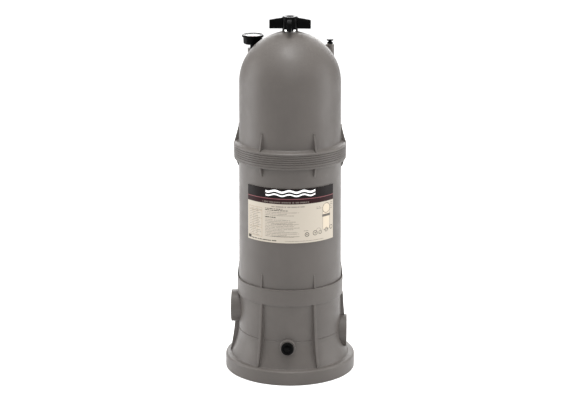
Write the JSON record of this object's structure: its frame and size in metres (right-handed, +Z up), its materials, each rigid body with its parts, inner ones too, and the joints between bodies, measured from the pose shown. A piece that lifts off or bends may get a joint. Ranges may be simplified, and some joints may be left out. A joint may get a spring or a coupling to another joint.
{
  "type": "cartridge filter housing",
  "caption": "Upright pool filter: flared moulded base with side ports, tank, domed lift-off head on a tie rod with a lock knob, gauge, air relief valve, drain plug and pleated element.",
  "frame": {"origin": "centre of the foot flange, on the floor", "axes": "+Z up along the tank and the tie rod; the label and the drain plug face -Y; the high inlet port faces -X and the low outlet port faces +X"},
  "size_m": [0.3454, 0.3454, 0.9458],
  "materials": {
    "housing_plastic": "warm taupe grey moulded plastic, satin with a fine grain",
    "black_plastic": "black moulded plastic, semi-matt",
    "rubber": "black moulded rubber",
    "stainless": "drawn stainless bar",
    "brass": "turned brass",
    "white_plastic": "off-white moulded plastic",
    "end_cap": "cast blue polyurethane",
    "filter_media": "white spun polyester",
    "label_film": "printed film, black header over a cream panel",
    "dial_white": "white painted dial with black marks",
    "needle_red": "painted needle",
    "lens": "clear lens"
  },
  "bodies": {
    "vessel": {"filter_base": "housing_plastic", "tank_body": "housing_plastic", "label": "label_film", "tie_rod": "stainless", "rod_anchor": "brass", "outlet_manifold": "white_plastic", "outlet_seal": "rubber", "inlet_diffuser": "white_plastic", "head_seal": "rubber"},
    "head": {"filter_head": "housing_plastic", "rod_seal": "rubber", "gauge_case": "black_plastic", "gauge_bezel": "black_plastic", "gauge_stem": "black_plastic", "gauge_dial": "dial_white", "gauge_movement": "brass", "gauge_lens": "lens", "relief_seat": "brass"},
    "element": {"element_top_cap": "end_cap", "element_bottom_cap": "end_cap", "element_pleats": "filter_media", "element_band_1": "filter_media", "element_band_2": "filter_media", "element_band_3": "filter_media", "element_core": "white_plastic", "element_retainer": "white_plastic"},
    "knob_washer": {"knob_washer": "stainless"},
    "knob": {"lock_knob": "black_plastic", "knob_insert": "brass"},
    "needle": {"gauge_needle": "needle_red"},
    "relief_washer": {"relief_seal": "rubber"},
    "relief_spindle": {"relief_screw": "black_plastic"},
    "drain_washer": {"drain_seal": "rubber"},
    "drain": {"drain_plug": "black_plastic"}
  },
  "joints": [
    {"name": "head_lift", "type": "slide", "parent": "vessel", "child": "head", "axis": [0, 0, 1], "range_m": [0, 0.8]},
    {"name": "element_lift", "type": "slide", "parent": "vessel", "child": "element", "axis": [0, 0, 1], "range_m": [0, 0.4]},
    {"name": "knob_rise", "type": "slide", "parent": "head", "child": "knob_washer", "axis": [0, 0, 1], "range_m": [0, 0.0177]},
    {"name": "knob_turn", "type": "hinge", "parent": "knob_washer", "child": "knob", "pos_m": [0, 0, 0.93], "axis": [0, 0, 1], "range_deg": [0, 3240]},
    {"name": "relief_rise", "type": "slide", "parent": "head", "child": "relief_washer", "axis": [0, 0, 1], "range_m": [0, 0.00313]},
    {"name": "relief_turn", "type": "hinge", "parent": "relief_washer", "child": "relief_spindle", "pos_m": [0.10111, 0.07619, 0.865], "axis": [0, 0, 1], "range_deg": [0, 900]},
    {"name": "drain_draw", "type": "slide", "parent": "vessel", "child": "drain_washer", "axis": [0, -1, 0], "range_m": [0, 0.0202]},
    {"name": "drain_turn", "type": "hinge", "parent": "drain_washer", "child": "drain", "pos_m": [0, -0.15, 0.095], "axis": [0, -1, 0], "range_deg": [0, 3960]},
    {"name": "needle_sweep", "type": "hinge", "parent": "head", "child": "needle", "pos_m": [-0.10111, 0.07619, 0.8807], "axis": [0, 0, -1], "range_deg": [0, 270], "stiffness_Nm_per_rad": 0.000002}
  ],
  "couplings": [
    {"joint": "element_lift", "follows": "head_lift", "ratio": 0.5},
    {"joint": "knob_rise", "follows": "knob_turn", "m_per_rad": 0.00031096},
    {"joint": "relief_turn", "follows": "relief_rise", "rad_per_m": 5026.5},
    {"joint": "drain_draw", "follows": "drain_turn", "m_per_rad": 0.00028875}
  ]
}
